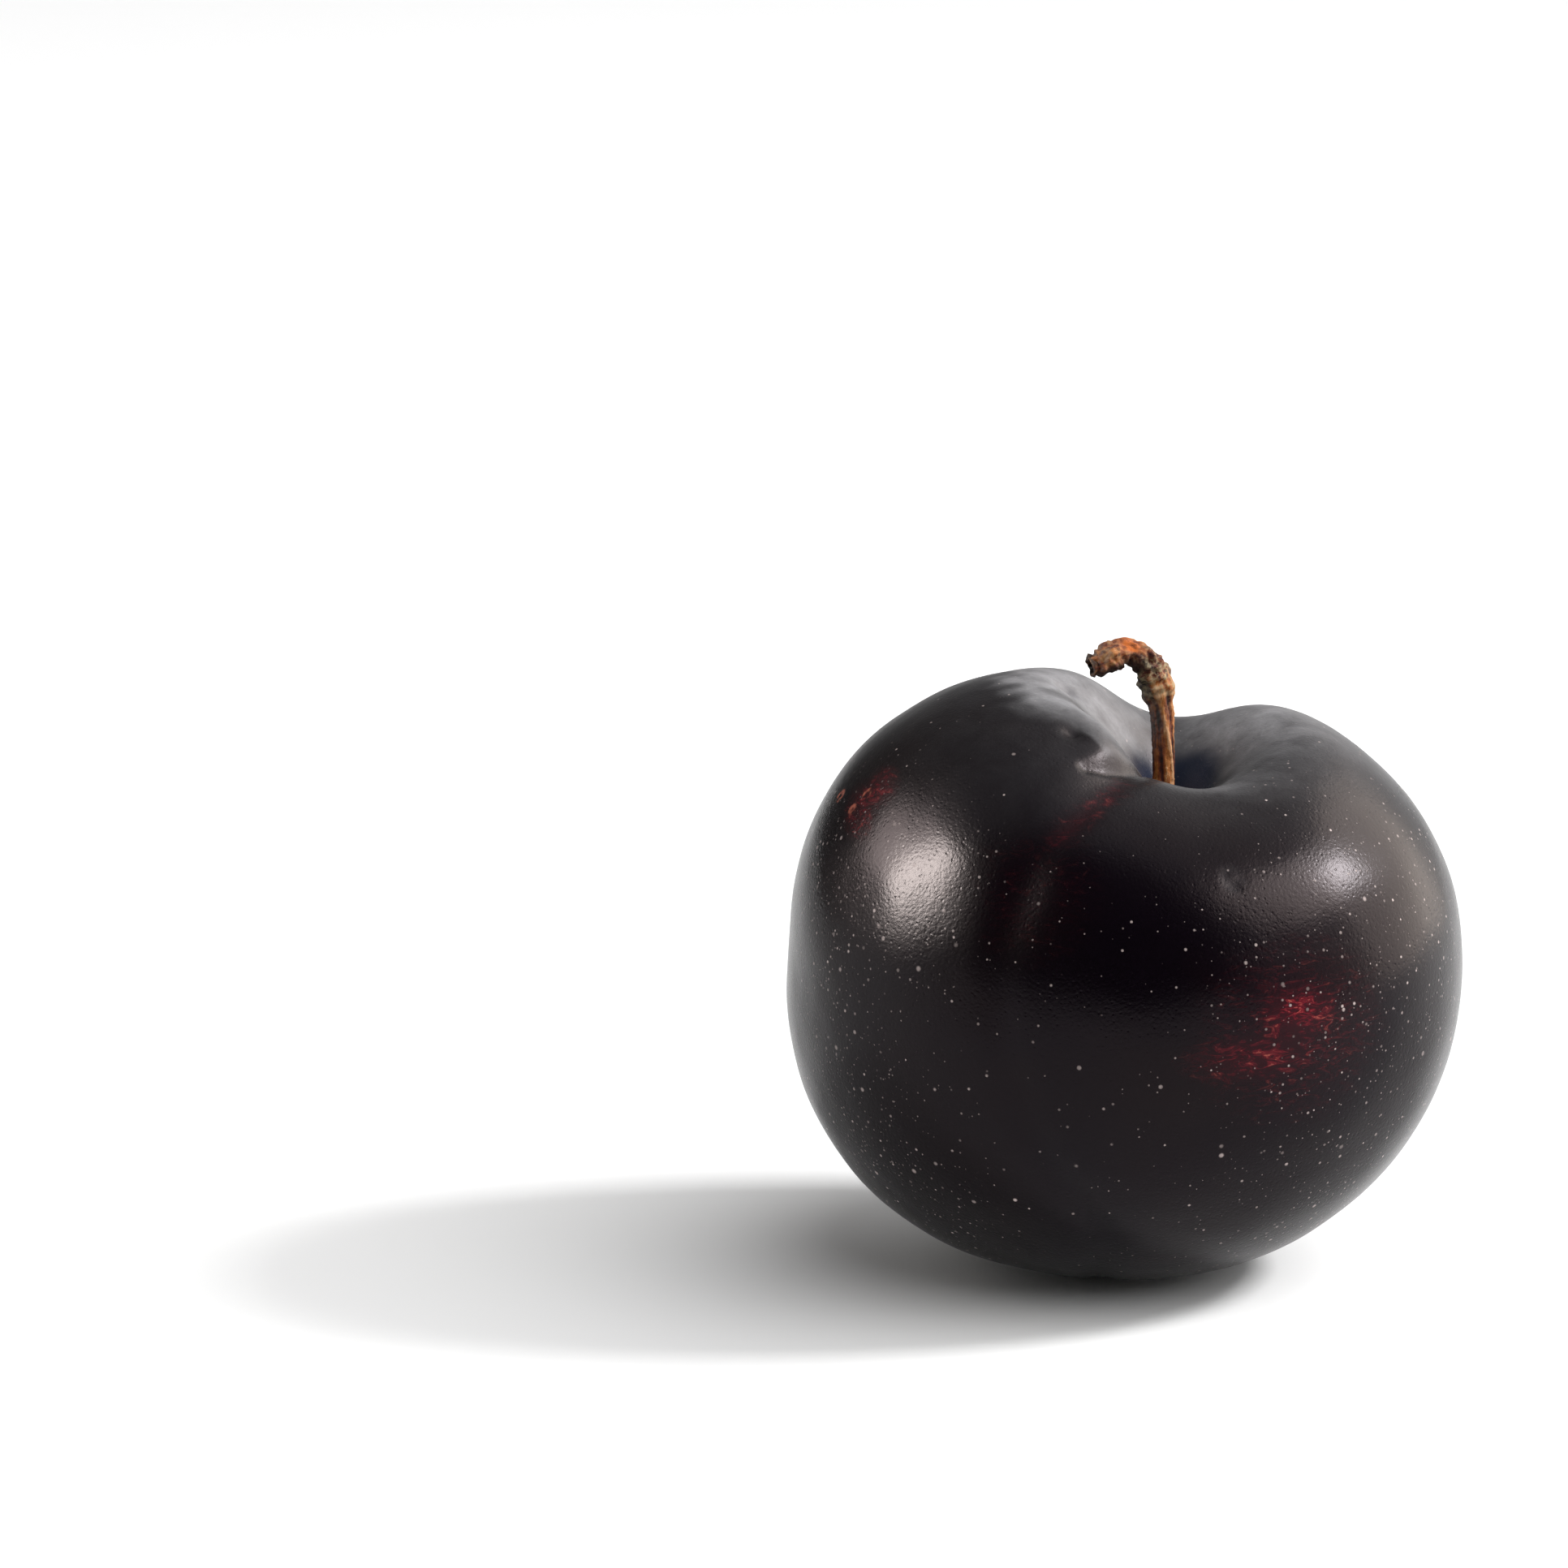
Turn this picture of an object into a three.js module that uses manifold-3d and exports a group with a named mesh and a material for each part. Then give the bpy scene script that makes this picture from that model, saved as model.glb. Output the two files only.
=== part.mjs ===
// A ripe dark plum with its broken, hooked stem, resting on the flat spot under its weight.
// Millimetres, +Z up. The origin is the middle of the rest spot, +X points along the fruit's width and
// -Y is the side with the suture.
import * as THREE from 'three';
import { mergeVertices } from 'three/addons/utils/BufferGeometryUtils.js';
import Module from 'manifold-3d';

// Fruit: half sizes of the body before the cavity is pressed in, and how square its outline is
// (2 is an ellipse, more is squarer). The left cheek is fuller than the right one.
const halfWidth = 29.35;
const halfDepth = 26.7;
const depthBelow = 27.8;
const heightAbove = 25.6;
const squareness = { belowRight: 2.1, belowLeft: 2.35, aboveRight: 2.06, aboveLeft: 2.36 };
const middleHeight = 27.5;
const leanDegrees = 3;

// Stem cavity: a funnel, a saddle in front and behind where its rim drops between the two lobes,
// and the swellings of the left lobe beside the stem and behind the fold
const funnel = { x: 2.2, depth: 10.4, radius: 7.1, widerOnTheRight: 0.1 };
const saddles = [
  { towards: -83, spread: 54, depth: 5.8 },
  { towards: 87, spread: 30, depth: 4.7 },
];
const saddleReach = 22.7;
const saddleStart = 4;
const swellings = [
  { x: -1, y: 1, height: 0.8, radius: 3 },
  { x: -2.6, y: -6, height: 1.3, radius: 4.2 },
];

// Suture: a shallow groove from the cavity down to the blossom end. It bends, so its compass direction
// depends on the angle down from the stem end.
const suture = { direction: -116, bend: 21, middle: 77, reach: 54, width: 1.9 };
const sutureDepth = { atRim: 0.9, atEquator: 0.25, atBlossomEnd: 0.35 };

// Fold beside the stem: the left lobe's edge stands over the head of the suture
const fold = { fromX: -4.5, fromY: -12.7, toX: -0.6, toY: -9.2, height: 0.8, edge: 0.5, fade: 3.5 };

// Blossom end: a dimple beside the rest spot
const blossomEnd = { x: 0.8, y: -6.9, depth: 0.4, radius: 1.3 };

// Socket in the cavity's floor for the stem's foot
const fitGap = 0.3;
const socketFloor = 38.6;

// Stem: its middle line with the radius at each place, from the foot to the torn tip
const stemRoute = [
  { name: 'foot', at: [2.9, 0, socketFloor + fitGap], radius: 1.45 },
  { name: 'collar', at: [3.0, 0, 40.8], radius: 1.3 },
  { name: 'shaft low', at: [3.14, 0, 43.6], radius: 1.04 },
  { name: 'shaft', at: [3.05, 0, 47.2], radius: 0.98 },
  { name: 'shaft top', at: [2.85, 0, 49.6], radius: 1.06 },
  { name: 'knuckle low', at: [2.5, 0, 51.2], radius: 1.48 },
  { name: 'knuckle', at: [2.15, -0.1, 52.5], radius: 1.6 },
  { name: 'bend', at: [1.3, -0.4, 53.9], radius: 1.4 },
  { name: 'hook', at: [-0.2, -0.9, 54.65], radius: 1.24 },
  { name: 'hook end', at: [-1.6, -1.4, 54.3], radius: 1.56 },
  { name: 'knob', at: [-2.55, -1.75, 53.8], radius: 1.32 },
  { name: 'torn tip', at: [-3.5, -2.05, 53.5], radius: 0.98 },
];
const stemRidges = { count: 5, height: 0.07, turns: 0.35 };
const tipCupDepth = 0.45;

// Mesh fineness
const fruitRings = 54;
const fruitColumns = 68;
const crowding = 1.25;
const stemRings = 46;
const stemSides = 18;

const fruitFinish = { name: 'waxy dark skin', color: '#1d181f', roughness: 0.34, metalness: 0 };
const stemFinish = { name: 'dry bark', color: '#6e421f', roughness: 0.85, metalness: 0 };

const radians = THREE.MathUtils.degToRad;
const bell = (distance, width) => Math.exp(-((distance / width) ** 2));
const mix = THREE.MathUtils.lerp;

// Angle between two compass directions, from -PI to PI
function turnBetween(a, b) {
  return Math.atan2(Math.sin(a - b), Math.cos(a - b));
}

// Body without its marks, at an angle up from the bottom pole and a compass direction
function bodyPoint(polar, azimuth) {
  const out = Math.sin(polar);
  const up = -Math.cos(polar);
  const left = (1 - Math.cos(azimuth)) / 2;
  const power = up > 0
    ? mix(squareness.aboveRight, squareness.aboveLeft, left)
    : mix(squareness.belowRight, squareness.belowLeft, left);
  const size = (Math.abs(out) ** power + Math.abs(up) ** power) ** (-1 / power);
  const radius = mix(halfDepth, halfWidth, Math.cos(azimuth) ** 2) * out * size;
  return new THREE.Vector3(
    radius * Math.cos(azimuth),
    radius * Math.sin(azimuth),
    (up > 0 ? heightAbove : depthBelow) * up * size,
  );
}

// How far the cavity and its saddles press the top down at a place of the plan
function cavityDepth(x, y) {
  const distance = Math.hypot(x - funnel.x, y);
  const direction = Math.atan2(y, x - funnel.x);
  const clear = distance ** 2 / (distance ** 2 + saddleStart ** 2);
  const width = funnel.radius * (1 + funnel.widerOnTheRight * Math.cos(direction) * clear);
  let saddle = 0;
  for (const { towards, spread, depth } of saddles) {
    const fan = bell(turnBetween(direction, radians(towards)), radians(spread));
    saddle += depth * (clear * fan + (1 - clear) / 4);
  }
  const reach = Math.exp(-((distance / saddleReach) ** 3));
  let depth = funnel.depth * bell(distance, width) + saddle * reach;
  for (const { x: middleX, y: middleY, height, radius } of swellings) {
    depth -= height * bell(Math.hypot(x - middleX, y - middleY), radius);
  }
  return depth;
}

// How far the fold's edge raises the left lobe at a place of the plan
function foldHeight(x, y) {
  const along = new THREE.Vector2(fold.toX - fold.fromX, fold.toY - fold.fromY);
  const length = along.length();
  along.normalize();
  const here = new THREE.Vector2(x - fold.fromX, y - fold.fromY);
  const across = here.dot(new THREE.Vector2(-along.y, along.x));
  const beyond = Math.abs(here.dot(along) - length / 2) / (length / 2);
  const step = 0.5 + 0.5 * Math.tanh(across / fold.edge);
  return fold.height * step * bell(Math.max(across, 0), fold.fade) * bell(beyond, 1.2);
}

// Depth of the suture groove at an angle down from the stem end and a compass direction
function sutureGroove(fromTop, azimuth, radius) {
  const bend = (fromTop - radians(suture.middle)) / radians(suture.reach);
  const line = radians(suture.direction + suture.bend * Math.min(bend ** 2, 1));
  const across = radius * turnBetween(azimuth, line);
  const deepest = bend < 0 ? sutureDepth.atRim : sutureDepth.atBlossomEnd;
  const depth = mix(sutureDepth.atEquator, deepest, Math.min(bend ** 4, 1));
  const ends = Math.min(1, Math.sin(fromTop) / 0.3) ** 2;
  return depth * ends * bell(across, suture.width);
}

// Fruit's skin, leant over and stood on the ground
function fruitPoint(u, v) {
  const fromTop = Math.PI * (1 - u) ** crowding;
  const azimuth = 2 * Math.PI * v;
  const point = bodyPoint(Math.PI - fromTop, azimuth);
  const { x, y } = point;
  const radius = Math.hypot(x, y);
  if (radius > 0) {
    const groove = sutureGroove(fromTop, azimuth, radius);
    point.addScaledVector(point.clone().normalize(), -groove);
  }
  if (point.z > 0) {
    const upperPart = Math.min(1, 3 * point.z / heightAbove);
    point.z += upperPart * (foldHeight(x, y) - cavityDepth(x, y));
  } else {
    point.z += blossomEnd.depth * bell(Math.hypot(x - blossomEnd.x, y - blossomEnd.y), blossomEnd.radius);
  }
  point.applyAxisAngle(new THREE.Vector3(0, 1, 0), radians(leanDegrees));
  point.z += middleHeight;
  return point;
}

// Closed surface of rings between two poles. pointAt(u, v) gives the skin at u from the first pole (0)
// to the last (1), and v once round, counted so that the faces look outwards.
function closedSkin(rings, columns, pointAt) {
  const points = [pointAt(0, 0)];
  for (let ring = 1; ring < rings; ring += 1) {
    for (let column = 0; column < columns; column += 1) {
      points.push(pointAt(ring / rings, column / columns));
    }
  }
  points.push(pointAt(1, 0));
  const at = (ring, column) => 1 + (ring - 1) * columns + (column % columns);
  const last = points.length - 1;
  const faces = [];
  for (let column = 0; column < columns; column += 1) {
    faces.push(0, at(1, column + 1), at(1, column));
    for (let ring = 1; ring < rings - 1; ring += 1) {
      faces.push(at(ring, column), at(ring, column + 1), at(ring + 1, column + 1));
      faces.push(at(ring, column), at(ring + 1, column + 1), at(ring + 1, column));
    }
    faces.push(last, at(rings - 1, column), at(rings - 1, column + 1));
  }
  const geometry = new THREE.BufferGeometry().setFromPoints(points);
  geometry.setIndex(faces);
  return geometry;
}

// Stem's middle line and radius
function stemSkin() {
  const stations = stemRoute.map(({ at }) => new THREE.Vector3(...at));
  const line = new THREE.CatmullRomCurve3(stations, false, 'centripetal');
  const steps = stemRings - 2;
  const frames = line.computeFrenetFrames(steps, false);
  const radiusAt = (share) => {
    const place = share * (stemRoute.length - 1);
    const before = Math.min(Math.floor(place), stemRoute.length - 2);
    const ease = THREE.MathUtils.smoothstep(place - before, 0, 1);
    return mix(stemRoute[before].radius, stemRoute[before + 1].radius, ease);
  };
  return closedSkin(stemRings, stemSides, (u, v) => {
    const step = THREE.MathUtils.clamp(Math.round(u * stemRings) - 1, 0, steps);
    const share = line.getUtoTmapping(step / steps);
    const centre = line.getPoint(share);
    if (u === 0) {
      return centre;
    }
    if (u === 1) {
      return centre.addScaledVector(frames.tangents[steps], -tipCupDepth);
    }
    const turn = 2 * Math.PI * v;
    const twist = 2 * Math.PI * stemRidges.turns * share;
    const ridge = 1 + stemRidges.height * Math.cos(stemRidges.count * turn + twist);
    const radius = radiusAt(share) * ridge;
    return centre
      .addScaledVector(frames.normals[step], radius * Math.cos(turn))
      .addScaledVector(frames.binormals[step], radius * Math.sin(turn));
  });
}

const wasm = await Module();
wasm.setup();

// Closed geometry as a solid that can be cut
function solidOf(geometry) {
  const bare = geometry.clone();
  bare.deleteAttribute('normal');
  bare.deleteAttribute('uv');
  const merged = mergeVertices(bare);
  return new wasm.Manifold(new wasm.Mesh({
    numProp: 3,
    vertProperties: new Float32Array(merged.attributes.position.array),
    triVerts: new Uint32Array(merged.index.array),
  }));
}

function geometryOf(solid) {
  const { vertProperties, triVerts } = solid.getMesh();
  const geometry = new THREE.BufferGeometry();
  geometry.setAttribute('position', new THREE.BufferAttribute(vertProperties, 3));
  geometry.setIndex(new THREE.BufferAttribute(triVerts, 1));
  geometry.computeVertexNormals();
  return geometry;
}

// Fruit, cut flat where it rests and hollowed for the stem's foot
function fruitSolid() {
  const ground = new THREE.BoxGeometry(3 * halfWidth, 3 * halfDepth, halfWidth);
  ground.translate(0, 0, -halfWidth / 2);
  const foot = stemRoute[0];
  const socketHeight = 6;
  const socket = new THREE.CylinderGeometry(foot.radius + fitGap, foot.radius + fitGap, socketHeight, 24);
  socket.rotateX(Math.PI / 2);
  socket.translate(foot.at[0], foot.at[1], socketFloor + socketHeight / 2);
  return solidOf(closedSkin(fruitRings, fruitColumns, fruitPoint))
    .subtract(solidOf(ground))
    .subtract(solidOf(socket));
}

function piece(name, geometry, finish) {
  const mesh = new THREE.Mesh(geometry, new THREE.MeshStandardMaterial(finish));
  mesh.name = name;
  return mesh;
}

const plum = new THREE.Group();
plum.add(piece('fruit', geometryOf(fruitSolid()), fruitFinish));
plum.add(piece('stem', geometryOf(solidOf(stemSkin())), stemFinish));

export default plum;
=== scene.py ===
"""Looks of a ripe, nearly black plum with its broken, hooked stem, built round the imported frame.

Blender works in metres. The classes hold the fruit's and the stem's sizes in millimetres, as the solids
have them, and turn them to metres where a mesh or a pattern is made.
"""

import logging
import math
from dataclasses import dataclass, field
from enum import Enum
from typing import Any

import bpy
import numpy as np
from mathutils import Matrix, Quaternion, Vector


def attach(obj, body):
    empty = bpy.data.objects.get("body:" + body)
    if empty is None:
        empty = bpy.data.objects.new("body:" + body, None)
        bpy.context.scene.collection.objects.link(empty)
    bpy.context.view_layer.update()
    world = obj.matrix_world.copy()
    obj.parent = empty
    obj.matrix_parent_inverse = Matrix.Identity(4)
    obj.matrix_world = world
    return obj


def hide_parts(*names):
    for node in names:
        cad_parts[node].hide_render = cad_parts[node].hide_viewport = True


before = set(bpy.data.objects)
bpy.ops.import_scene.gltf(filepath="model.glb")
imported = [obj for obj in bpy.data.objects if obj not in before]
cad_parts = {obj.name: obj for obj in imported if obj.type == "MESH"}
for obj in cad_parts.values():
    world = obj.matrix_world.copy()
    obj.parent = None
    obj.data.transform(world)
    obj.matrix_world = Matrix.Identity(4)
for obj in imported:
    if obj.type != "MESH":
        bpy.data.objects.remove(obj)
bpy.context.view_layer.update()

MM = 0.001
Tree = bpy.types.NodeTree
Socket = bpy.types.NodeSocket
Piece = bpy.types.Object
log = logging.getLogger("plum")


def srgb(code: str) -> tuple[float, float, float, float]:
    """Turns an sRGB hex colour to the linear values that a shader takes.

    Args:
        code: The colour as "#rrggbb".

    Returns:
        Linear red, green and blue, and an alpha of 1.
    """
    parts = (int(code[i:i + 2], 16) / 255 for i in (1, 3, 5))
    linear = (p / 12.92 if p <= 0.04045 else ((p + 0.055) / 1.055) ** 2.4 for p in parts)
    return (*linear, 1.0)


def bell(distance: Any, width: Any) -> Any:
    """Returns a smooth hump that is 1 at distance 0 and fades over width."""
    return np.exp(-((distance / width) ** 2))


def smooth(value: Any, low: float, high: float) -> Any:
    """Returns 0 below low, 1 above high and an even slope's ease between them."""
    share = np.clip((value - low) / (high - low), 0, 1)
    return share * share * (3 - 2 * share)


def mix(first: Any, second: Any, share: Any) -> Any:
    """Returns the value that lies share of the way from first to second."""
    return first + (second - first) * share


def line_distance(points: np.ndarray, line: Any) -> np.ndarray:
    """Returns how far places lie from a line.

    Args:
        points: Places, one row each.
        line: The line's corners, in order.

    Returns:
        The distance of each place.
    """
    nearest = np.full(len(points), np.inf)
    for start, end in zip(line[:-1], line[1:]):
        along = np.subtract(end, start)
        from_start = points - np.array(start)
        share = np.clip(from_start @ along / (along @ along), 0, 1)
        nearest = np.minimum(nearest, np.linalg.norm(from_start - share[:, None] * along, axis=1))
    return nearest


def waves(points: np.ndarray, wavelength: float, count: int, seed: int) -> np.ndarray:
    """Adds plane waves in random directions, which makes a gentle uneven swell.

    Args:
        points: Places, one row each, in the wavelength's unit.
        wavelength: Middle length of the waves. They range from half to one and a half of it.
        count: How many waves are added.
        seed: Seed of the random draw.

    Returns:
        A swell of about -1 to 1 for each place.
    """
    draw = np.random.default_rng(seed)
    total = np.zeros(len(points))
    for _ in range(count):
        direction = draw.normal(size=3)
        direction *= 2 * math.pi / (np.linalg.norm(direction) * wavelength * draw.uniform(0.5, 1.5))
        total += np.sin(points @ direction + draw.uniform(0, 2 * math.pi))
    return total / math.sqrt(count)


def add_node(tree: Tree, kind: str, links: dict | None = None, **settings: Any) -> Any:
    """Adds a node with its settings and links.

    Args:
        tree: The node tree to add to.
        kind: The node's type name.
        links: A socket to link from or a constant for each input, by the input's name or number.
        settings: The node's own properties.

    Returns:
        The new node.
    """
    node = tree.nodes.new(kind)
    for name, value in settings.items():
        setattr(node, name, value)
    for name, value in (links or {}).items():
        if isinstance(value, Socket):
            tree.links.new(value, node.inputs[name])
        else:
            node.inputs[name].default_value = value
    return node


def unit_towards(azimuth: float, elevation: float) -> Vector:
    """Returns the unit vector at degrees right of the camera's side and above the horizon."""
    turn, rise = math.radians(azimuth), math.radians(elevation)
    return Vector((math.sin(turn) * math.cos(rise), -math.cos(turn) * math.cos(rise), math.sin(rise)))


def new_material(name: str) -> tuple[bpy.types.Material, Tree, Any]:
    """Makes a material whose tree holds only its output.

    Args:
        name: The finish's plain name.

    Returns:
        The material, its node tree and its output node.
    """
    material = bpy.data.materials.new(name)
    material.use_nodes = True
    tree = material.node_tree
    tree.nodes.clear()
    return material, tree, add_node(tree, "ShaderNodeOutputMaterial")


def read_points(piece: Piece) -> np.ndarray:
    """Reads where a mesh's vertices lie.

    Args:
        piece: The mesh object.

    Returns:
        Places in millimetres, one row each.
    """
    flat = np.empty(3 * len(piece.data.vertices))
    piece.data.vertices.foreach_get("co", flat)
    return flat.reshape(-1, 3) / MM


def write_points(piece: Piece, points: np.ndarray) -> None:
    """Moves a mesh's vertices to places given in millimetres."""
    piece.data.vertices.foreach_set("co", (points * MM).ravel())
    piece.data.update()


def read_normals(piece: Piece) -> np.ndarray:
    """Reads which way a mesh's vertices face.

    Args:
        piece: The mesh object.

    Returns:
        Unit normals, one row each.
    """
    flat = np.empty(3 * len(piece.data.vertices))
    piece.data.vertex_normals.foreach_get("vector", flat)
    return flat.reshape(-1, 3)


def paint(piece: Piece, name: str, values: np.ndarray) -> None:
    """Stores one number or one vector for each vertex, for a material to read.

    Args:
        piece: The mesh object.
        name: The attribute's name.
        values: One value or one row of three for each vertex.
    """
    kind, member = ("FLOAT", "value") if values.ndim == 1 else ("FLOAT_VECTOR", "vector")
    layer = piece.data.attributes.new(name, kind, "POINT")
    layer.data.foreach_set(member, values.astype(np.float32).ravel())


def begin(name: str) -> None:
    """Deselects everything and leaves edit mode, so that the next operator acts on one piece alone.

    Args:
        name: The piece that is modelled next.
    """
    if bpy.context.mode != "OBJECT":
        bpy.ops.object.mode_set(mode="OBJECT")
    bpy.ops.object.select_all(action="DESELECT")
    log.info("modelling %s", name)


def settle(piece: Piece, name: str) -> Piece:
    """Names a piece and puts its place into its mesh, so that its object sits at the origin.

    Args:
        piece: The finished object.
        name: Its plain name.

    Returns:
        The same object.
    """
    begin(name)
    piece.select_set(True)
    bpy.context.view_layer.objects.active = piece
    bpy.ops.object.transform_apply(location=True, rotation=True, scale=True)
    piece.name = name
    piece.data.name = name
    return piece


class Slot(Enum):
    """The record's material slots."""

    SKIN = "skin"
    BARK = "stem_bark"


@dataclass(frozen=True)
class Saddle:
    """A place where the cavity's rim drops between the two lobes. Directions are in degrees."""

    towards: float
    spread: float
    depth: float


@dataclass(frozen=True)
class Mark:
    """A round or oval hump in plan: its place, height and radius in millimetres, and how it is squeezed.

    As a hump of the skin its height is in millimetres, and as a place of a finish it is a share.
    """

    place: tuple[float, float]
    height: float
    radius: float
    squeeze: tuple[float, float] = (1.0, 1.0)

    def at(self, x: np.ndarray, y: np.ndarray) -> np.ndarray:
        """Works out the mark's height at places of the plan.

        Args:
            x: Places along the width.
            y: Places along the depth.

        Returns:
            The height at each place.
        """
        aside = (x - self.place[0]) * self.squeeze[0]
        ahead = (y - self.place[1]) * self.squeeze[1]
        return self.height * bell(np.hypot(aside, ahead), self.radius)


@dataclass(frozen=True)
class RedPatch:
    """A place where the ripe skin still shows red, in millimetres."""

    centre: tuple[float, float, float]
    radii: tuple[float, float, float]
    strength: float


@dataclass(frozen=True)
class Bite:
    """An old insect bite that healed to a corky ring, in millimetres."""

    centre: tuple[float, float, float]
    radius: float


@dataclass(frozen=True)
class Lenticels:
    """One size of breathing pore: its spacing and usual radius in millimetres, and how pale it gets."""

    spacing: float
    radius: float
    paleness: float


@dataclass(frozen=True)
class WaxySkin:
    """Skin of a ripe dark plum: pigmented peel under a thin natural wax.

    The wax gives a soft gloss that fine pores break up. Pale breathing pores (lenticels) dot it, and rubbed
    bloom leaves a faint grey haze where fingers don't reach. On the lobes this haze is partly painted
    reflection, along the front lip it is a painted highlight, and a dark blue painted shade fills the
    cavity's depth. Real pores and skin cells are finer than the spacings here: they are drawn as coarse as
    they need to show. Sizes are in millimetres.
    """

    peel: str = "#050206"
    warm_peel: str = "#0b0405"
    red: str = "#761220"
    amber: str = "#a65e4c"
    lenticel: str = "#b8a9a5"
    # Grey haze: bloom, partly painted reflection on the lobes and a painted highlight along the front lip
    haze: str = "#9d9c9e"
    cork: str = "#4a2d1a"
    # Painted shade, dark blue, in the cavity's depth beside the stem
    cavity_shade: str = "#1b2538"
    gloss_tint: str = "#fbeef5"
    roughness: float = 0.26
    haze_roughness: float = 0.35
    dot_roughness: float = 0.25
    refraction: float = 1.42
    gloss: float = 0.165
    sheen: float = 0.035
    sheen_roughness: float = 0.3
    cloud_size: float = 14.3
    cloud_levels: tuple[float, float] = (0.42, 0.78)
    pore_spacing: float = 0.55
    pore_reach: float = 0.32
    pore_depth: float = 0.012
    grain_spacing: float = 0.3
    grain_depth: float = 0.021
    lenticel_height: float = 0.008
    lenticel_sizes: tuple[Lenticels, ...] = (
        Lenticels(1.7, 0.25, 0.92),
        Lenticels(0.74, 0.152, 0.88),
        Lenticels(0.46, 0.085, 0.55),
    )
    smallest_lenticel: float = 0.6
    lenticel_core: float = 0.4
    faintest_lenticel: float = 0.26
    bites: tuple[Bite, ...] = (
        Bite((-24.8, -4.4, 42.9), 0.5),
        Bite((-23.8, -8.2, 42.6), 0.4),
        Bite((-22.5, -8.5, 44.0), 0.45),
    )
    ring_width: float = 0.3
    ring_core: float = 0.05
    ring_tear: float = 0.6
    patches: tuple[RedPatch, ...] = (
        RedPatch((13.4, -23.8, 28.9), (3.4, 5.0, 2.5), 0.7),
        RedPatch((9.6, -25.2, 25.2), (6.2, 4.0, 2.3), 0.48),
        RedPatch((14.0, -23.5, 27.0), (9.5, 7.0, 8.0), 0.21),
        RedPatch((-22.9, -9.2, 42.6), (1.6, 4.0, 2.6), 0.8),
        RedPatch((-21.3, -9.4, 44.9), (1.8, 3.0, 1.8), 0.9),
        RedPatch((-9.0, -23.0, 39.0), (6.0, 6.0, 6.0), 0.05),
    )
    patch_fade: float = 1.25
    streak_width: float = 0.68
    streak_squeeze: float = 0.36
    streak_tilt: float = 0.12
    streak_levels: tuple[float, float] = (0.47, 0.66)
    thread_levels: tuple[float, float] = (0.6, 0.72)
    streak_contrast: float = 0.85
    smear_size: float = 2.4
    smear_turn: float = 35.0
    smear_levels: tuple[float, float] = (0.26, 0.72)
    smear_least: float = 0.38

    def build(self) -> bpy.types.Material:
        """Makes the skin's material.

        Returns:
            The material.
        """
        material, tree, output = new_material("waxy plum skin")
        place = add_node(tree, "ShaderNodeTexCoord").outputs["Object"]
        painted = {
            name: add_node(tree, "ShaderNodeAttribute", attribute_name=name).outputs["Fac"]
            for name in ("lenticels", "bloom", "cavity_shade", "dull", "suture_red", "cork")
        }
        redness, threads = self._red(tree, place, painted["suture_red"])
        dots = self._lenticels(tree, place, painted["lenticels"])
        haze = self._haze(tree, place, painted["bloom"])
        colour = self._peel(tree, place)
        for tone, share in (
            (self.red, redness),
            (self.amber, threads),
            (self.cavity_shade, painted["cavity_shade"]),
            (self.haze, haze),
            (self.lenticel, dots),
            (self.amber, self._rings(tree, place)),
            (self.cork, painted["cork"]),
        ):
            colour = add_node(tree, "ShaderNodeMix", {
                "Factor": share,
                6: colour,
                7: srgb(tone),
            }, data_type="RGBA").outputs[2]
        rough = add_node(tree, "ShaderNodeMath", {
            0: painted["dull"],
            1: self.roughness,
        }, operation="ADD").outputs[0]
        for part, share in ((haze, self.haze_roughness), (dots, self.dot_roughness)):
            rough = add_node(tree, "ShaderNodeMath", {
                0: part,
                1: share,
                2: rough,
            }, operation="MULTIPLY_ADD").outputs[0]
        shader = add_node(tree, "ShaderNodeBsdfPrincipled", {
            "Base Color": colour,
            "Roughness": rough,
            "IOR": self.refraction,
            "Specular IOR Level": self.gloss,
            "Specular Tint": srgb(self.gloss_tint),
            "Sheen Weight": self.sheen,
            "Sheen Roughness": self.sheen_roughness,
            "Normal": self._relief(tree, place, dots),
        })
        tree.links.new(shader.outputs["BSDF"], output.inputs["Surface"])
        return material

    def _peel(self, tree: Tree, place: Socket) -> Socket:
        """Makes the peel's own colour, darker and warmer in broad clouds.

        Args:
            tree: The material's node tree.
            place: The place on the fruit.

        Returns:
            The peel's colour.
        """
        clouds = add_node(tree, "ShaderNodeTexNoise", {
            "Vector": place,
            "Scale": 1 / (self.cloud_size * MM),
            "Detail": 3.0,
        })
        ramp = add_node(tree, "ShaderNodeValToRGB", {"Fac": clouds.outputs["Fac"]})
        tones = (self.peel, self.warm_peel)
        for stop, position, tone in zip(ramp.color_ramp.elements, self.cloud_levels, tones):
            stop.position = position
            stop.color = srgb(tone)
        return ramp.outputs["Color"]

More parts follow.
